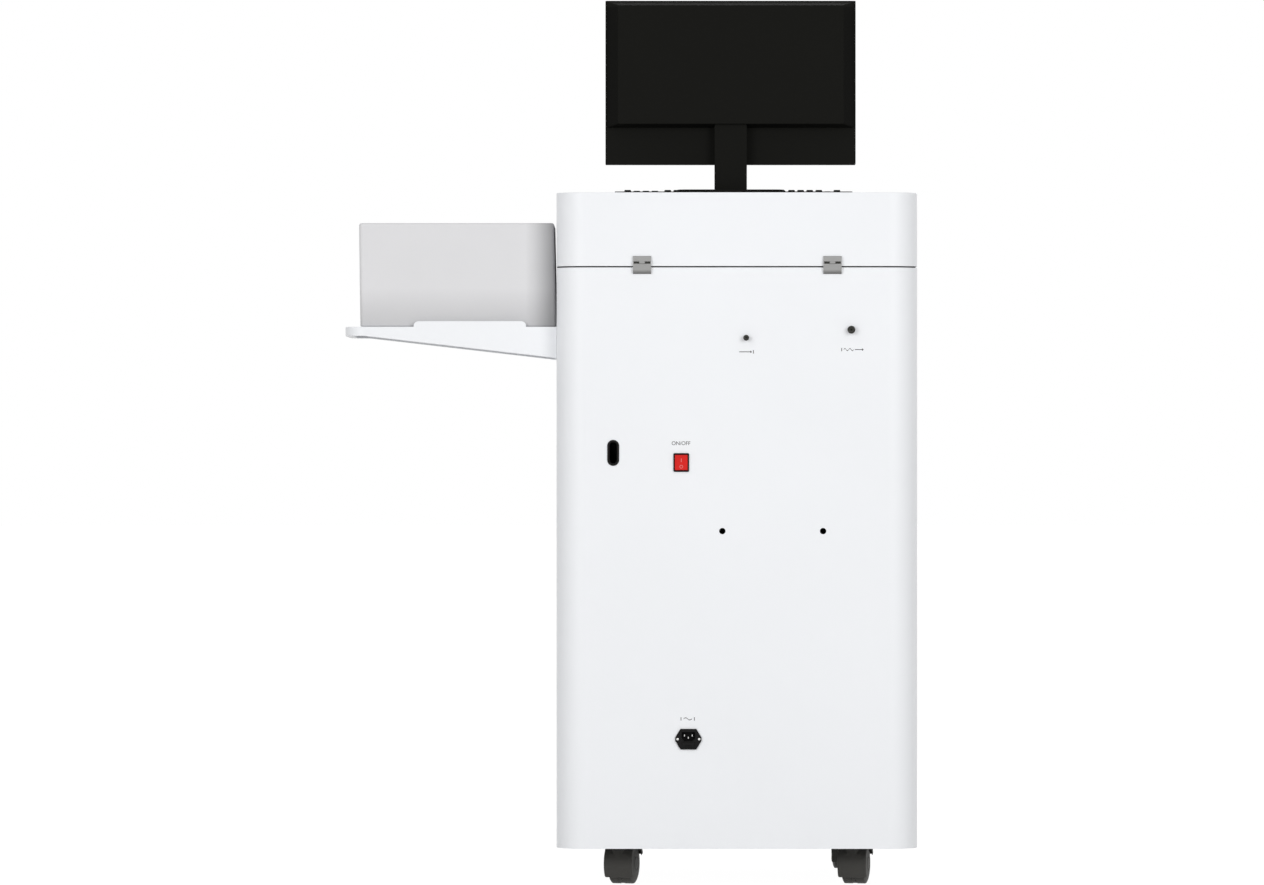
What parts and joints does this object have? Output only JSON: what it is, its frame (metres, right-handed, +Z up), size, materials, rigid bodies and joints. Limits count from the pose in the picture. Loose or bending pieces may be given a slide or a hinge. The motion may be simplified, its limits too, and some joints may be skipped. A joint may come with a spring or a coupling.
{
  "type": "optical emission spectrometer",
  "caption": "Floor-standing optical emission spectrometer on castors, with a hinged lid under a monitor and keyboard, a spark stand recess and a side shelf with a printer.",
  "frame": {"origin": "on the floor, under the middle of the object's bounding box", "axes": "+X to the operator's right, toward the side shelf; +Y to the rear; +Z up"},
  "size_m": [1.032, 0.7576, 1.6105],
  "materials": {
    "white_paint": "satin",
    "grey_paint": "satin",
    "zinc_plate": "satin",
    "satin_steel": "satin",
    "cast_aluminium": "satin",
    "dark_metal": "satin",
    "valve_brass": "satin",
    "castor_plastic": "matte",
    "black_plastic": "matte",
    "black_rubber": "matte",
    "red_plastic": "gloss",
    "green_plastic": "gloss",
    "light_grey_plastic": "matte",
    "screen_face": "gloss",
    "grating_face": "gloss"
  },
  "bodies": {
    "cabinet": {"cabinet_shell": "white_paint", "base_frame": "grey_paint", "inner_deck": "grey_paint", "equipment_shelf": "grey_paint", "front_upper_panel": "white_paint", "niche_liner": "grey_paint", "spark_stand_body": "cast_aluminium", "spark_plate": "satin_steel", "counter_electrode": "dark_metal", "clamp_post": "satin_steel", "optics_chamber": "cast_aluminium", "optics_cover": "cast_aluminium", "concave_grating": "grating_face", "detector_bar": "dark_metal", "spark_source_box": "zinc_plate", "power_supply": "zinc_plate", "computer_case": "dark_metal", "argon_manifold": "valve_brass", "argon_inlet_fitting": "dark_metal", "waste_gas_fitting": "dark_metal", "cable_slot_grommet": "black_rubber", "rocker_bezel": "black_plastic", "power_inlet": "black_plastic", "hinge_lower_leaf_left": "satin_steel", "hinge_lower_leaf_right": "satin_steel", "shelf_tray": "white_paint", "printer_body": "light_grey_plastic"},
    "door": {"front_door": "white_paint"},
    "latch": {"door_latch": "dark_metal"},
    "clamp_swing_arm": {"clamp_arm": "cast_aluminium"},
    "clamp_plunger": {"clamp_rod": "dark_metal"},
    "start_push": {"start_button": "green_plastic"},
    "stop_push": {"stop_button": "red_plastic"},
    "mains_rocker": {"rocker_key": "red_plastic"},
    "fuse_carrier": {"fuse_drawer": "black_plastic"},
    "lid": {"lid_shell": "white_paint", "hinge_upper_leaf_left": "satin_steel", "hinge_upper_leaf_right": "satin_steel", "monitor_column": "black_plastic", "monitor_base": "black_plastic", "keyboard_body": "black_plastic"},
    "keyboard_leg_left": {"keyboard_foot_left": "black_plastic"},
    "keyboard_leg_right": {"keyboard_foot_right": "black_plastic"},
    "space_key": {"space_bar": "black_plastic"},
    "return_key": {"enter_key": "black_plastic"},
    "monitor_head": {"monitor_rear_cover": "black_plastic", "monitor_bezel": "black_plastic", "monitor_screen": "screen_face"},
    "monitor_push": {"monitor_button": "castor_plastic"},
    "printer_cover": {"printer_top_cover": "light_grey_plastic"},
    "printer_flap": {"printer_tray_flap": "light_grey_plastic"},
    "printer_push": {"printer_button": "castor_plastic"},
    "castor_rear_left": {"castor_hood_rear_left": "castor_plastic"},
    "wheels_rear_left": {"castor_wheels_rear_left": "castor_plastic"},
    "castor_rear_right": {"castor_hood_rear_right": "castor_plastic"},
    "wheels_rear_right": {"castor_wheels_rear_right": "castor_plastic"},
    "castor_front_left": {"castor_hood_front_left": "castor_plastic"},
    "wheels_front_left": {"castor_wheels_front_left": "castor_plastic"},
    "castor_front_right": {"castor_hood_front_right": "castor_plastic"},
    "wheels_front_right": {"castor_wheels_front_right": "castor_plastic"}
  },
  "joints": [
    {"name": "lid_hinge", "type": "hinge", "parent": "cabinet", "child": "lid", "pos_m": [-0.191, 0.3682, 1.1221], "axis": [-1, 0, 0], "range_deg": [0, 70]},
    {"name": "door_hinge", "type": "hinge", "parent": "cabinet", "child": "door", "pos_m": [-0.439, -0.359, 0.4665], "axis": [0, 0, -1], "range_deg": [0, 110]},
    {"name": "latch_turn", "type": "hinge", "parent": "door", "child": "latch", "pos_m": [0.034, -0.365, 0.4865], "axis": [0, -1, 0], "range_deg": [0, 90]},
    {"name": "rocker_tilt", "type": "hinge", "parent": "cabinet", "child": "mains_rocker", "pos_m": [-0.0904, 0.364, 0.7633], "axis": [1, 0, 0], "range_deg": [0, 14]},
    {"name": "fuse_drawer_slide", "type": "slide", "parent": "cabinet", "child": "fuse_carrier", "axis": [0, 1, 0], "range_m": [0, 0.018]},
    {"name": "clamp_swing", "type": "hinge", "parent": "cabinet", "child": "clamp_swing_arm", "pos_m": [-0.111, -0.222, 1.0015], "axis": [0, 0, 1], "range_deg": [0, 100]},
    {"name": "clamp_rod_slide", "type": "slide", "parent": "clamp_swing_arm", "child": "clamp_plunger", "axis": [0, 0, 1], "range_m": [-0.024, 0.026]},
    {"name": "start_button_press", "type": "slide", "parent": "cabinet", "child": "start_push", "axis": [0, 1, 0], "range_m": [0, 0.0035], "stiffness_N_per_m": 500},
    {"name": "stop_button_press", "type": "slide", "parent": "cabinet", "child": "stop_push", "axis": [0, 1, 0], "range_m": [0, 0.0035], "stiffness_N_per_m": 500},
    {"name": "keyboard_foot_left_fold", "type": "hinge", "parent": "lid", "child": "keyboard_leg_left", "pos_m": [-0.382, -0.2234, 1.25944], "axis": [-1, 0, 0], "range_deg": [0, 86]},
    {"name": "keyboard_foot_right_fold", "type": "hinge", "parent": "lid", "child": "keyboard_leg_right", "pos_m": [-0.002, -0.2234, 1.25944], "axis": [-1, 0, 0], "range_deg": [0, 86]},
    {"name": "space_bar_press", "type": "slide", "parent": "lid", "child": "space_key", "axis": [0, 0.06, -0.9982], "range_m": [0, 0.002], "stiffness_N_per_m": 200},
    {"name": "enter_key_press", "type": "slide", "parent": "lid", "child": "return_key", "axis": [0, 0.06, -0.9982], "range_m": [0, 0.002], "stiffness_N_per_m": 200},
    {"name": "monitor_tilt", "type": "hinge", "parent": "lid", "child": "monitor_head", "pos_m": [-0.183, 0.06, 1.3925], "axis": [-1, 0, 0], "range_deg": [-5, 20]},
    {"name": "monitor_button_press", "type": "slide", "parent": "monitor_head", "child": "monitor_push", "axis": [0, 1, 0], "range_m": [0, 0.0008], "stiffness_N_per_m": 600},
    {"name": "printer_cover_hinge", "type": "hinge", "parent": "cabinet", "child": "printer_cover", "pos_m": [0.31465, 0.2205, 1.1899], "axis": [-1, 0, 0], "range_deg": [0, 60]},
    {"name": "printer_flap_hinge", "type": "hinge", "parent": "cabinet", "child": "printer_flap", "pos_m": [0.31465, 0.0533, 1.0214], "axis": [1, 0, 0], "range_deg": [0, 85]},
    {"name": "printer_button_press", "type": "slide", "parent": "cabinet", "child": "printer_push", "axis": [0, 0, -1], "range_m": [0, 0.0012], "stiffness_N_per_m": 600},
    {"name": "castor_swivel_rear_left", "type": "hinge", "parent": "cabinet", "child": "castor_rear_left", "pos_m": [-0.402, 0.255, 0.1065], "axis": [0, 0, 1], "continuous": true},
    {"name": "wheel_spin_rear_left", "type": "hinge", "parent": "castor_rear_left", "child": "wheels_rear_left", "pos_m": [-0.4072, 0.23055, 0.03693], "axis": [0.9781, -0.2079, 0], "continuous": true},
    {"name": "castor_swivel_rear_right", "type": "hinge", "parent": "cabinet", "child": "castor_rear_right", "pos_m": [0.02, 0.255, 0.1065], "axis": [0, 0, 1], "continuous": true},
    {"name": "wheel_spin_rear_right", "type": "hinge", "parent": "castor_rear_right", "child": "wheels_rear_right", "pos_m": [0.01311, 0.23097, 0.03693], "axis": [0.9613, -0.2756, 0], "continuous": true},
    {"name": "castor_swivel_front_left", "type": "hinge", "parent": "cabinet", "child": "castor_front_left", "pos_m": [-0.402, -0.255, 0.1065], "axis": [0, 0, 1], "continuous": true},
    {"name": "wheel_spin_front_left", "type": "hinge", "parent": "castor_front_left", "child": "wheels_front_left", "pos_m": [-0.40113, -0.27998, 0.03693], "axis": [0.9994, 0.0349, 0], "continuous": true},
    {"name": "castor_swivel_front_right", "type": "hinge", "parent": "cabinet", "child": "castor_front_right", "pos_m": [0.02, -0.255, 0.1065], "axis": [0, 0, 1], "continuous": true},
    {"name": "wheel_spin_front_right", "type": "hinge", "parent": "castor_front_right", "child": "wheels_front_right", "pos_m": [0.01826, -0.27994, 0.03693], "axis": [0.9976, -0.0698, 0], "continuous": true}
  ]
}
